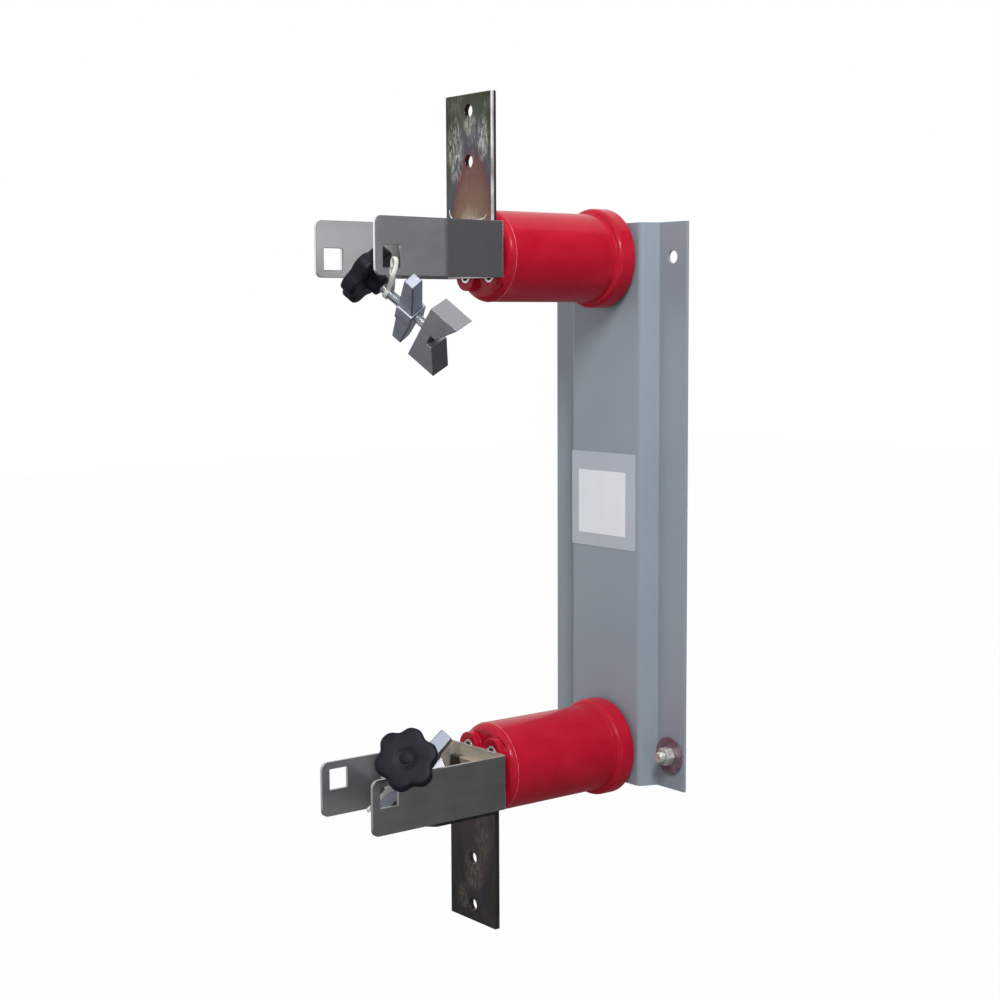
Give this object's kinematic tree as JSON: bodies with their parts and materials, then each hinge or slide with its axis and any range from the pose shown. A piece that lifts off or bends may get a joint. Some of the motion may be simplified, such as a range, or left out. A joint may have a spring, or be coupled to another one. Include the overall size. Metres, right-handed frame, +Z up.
{
  "type": "fuse mount",
  "caption": "Non-disconnect power fuse mount: grey steel channel, two red standoff insulators, stainless spring clips, terminal bars and two knob clamps tied on.",
  "frame": {"origin": "Middle of the wall plane: halfway between the four wall holes, in the plane of the flanges' rear faces.", "axes": "+Z up along the base, -Y straight out from the wall along the insulators, +X to the right seen from the front."},
  "size_m": [0.1869, 0.3098, 0.699],
  "materials": {
    "painted_steel": "semi-gloss grey paint",
    "label": "satin film",
    "red_moulding": "glossy moulded epoxy",
    "brass_insert": "plated, machined",
    "stainless": "brushed sheet",
    "stainless_shade": "brushed sheet",
    "tinted_steel": "plated bar, heat tinted from welding",
    "plated_steel": "zinc plated",
    "black_phenolic": "satin black moulding",
    "zinc": "bright zinc",
    "casting": "as cast, shot blasted",
    "nylon": "natural nylon",
    "tinted_zinc": "iridescent zinc"
  },
  "bodies": {
    "mount": {"mounting_base": "painted_steel", "label_plate": "label", "insulator_upper": "red_moulding", "insulator_lower": "red_moulding", "front_inserts": "brass_insert", "rear_inserts": "brass_insert", "clip_upper": "stainless", "clip_lower": "stainless_shade", "terminal_upper": "tinted_steel", "terminal_lower": "tinted_steel", "seat_plate": "stainless_shade", "clip_bolts": "plated_steel", "clip_washers": "plated_steel", "clip_lock_washers": "plated_steel", "base_bolts": "plated_steel", "base_washers": "plated_steel", "base_lock_washers": "plated_steel", "crossbar_upper": "casting", "tie_upper": "nylon", "crossbar_lower": "casting", "tie_lower": "nylon", "ground_stud": "tinted_zinc", "ground_washer": "tinted_zinc", "ground_nut": "tinted_zinc"},
    "upper_jaw": {"jaw_upper": "casting"},
    "upper_screw": {"knob_upper": "black_phenolic", "screw_upper": "zinc"},
    "lower_jaw": {"jaw_lower": "casting"},
    "lower_screw": {"knob_lower": "black_phenolic", "screw_lower": "zinc"}
  },
  "joints": [
    {"name": "upper_jaw_slide", "type": "slide", "parent": "mount", "child": "upper_jaw", "axis": [0.6302, 0.4371, -0.6417], "range_m": [-0.009, 0.003]},
    {"name": "upper_screw_turn", "type": "hinge", "parent": "upper_jaw", "child": "upper_screw", "pos_m": [0.0454, -0.2685, 0.1764], "axis": [0.6302, 0.4371, -0.6417], "range_deg": [-2300, 770]},
    {"name": "lower_jaw_slide", "type": "slide", "parent": "mount", "child": "lower_jaw", "axis": [-0.6736, 0.5927, -0.4416], "range_m": [-0.001, 0.0004]},
    {"name": "lower_screw_turn", "type": "hinge", "parent": "lower_jaw", "child": "lower_screw", "pos_m": [0.0212, -0.2464, -0.2027], "axis": [-0.6736, 0.5927, -0.4416], "range_deg": [-256, 103]}
  ],
  "couplings": [
    {"joint": "upper_screw_turn", "follows": "upper_jaw_slide", "rad_per_m": 4453},
    {"joint": "lower_screw_turn", "follows": "lower_jaw_slide", "rad_per_m": 4453}
  ]
}
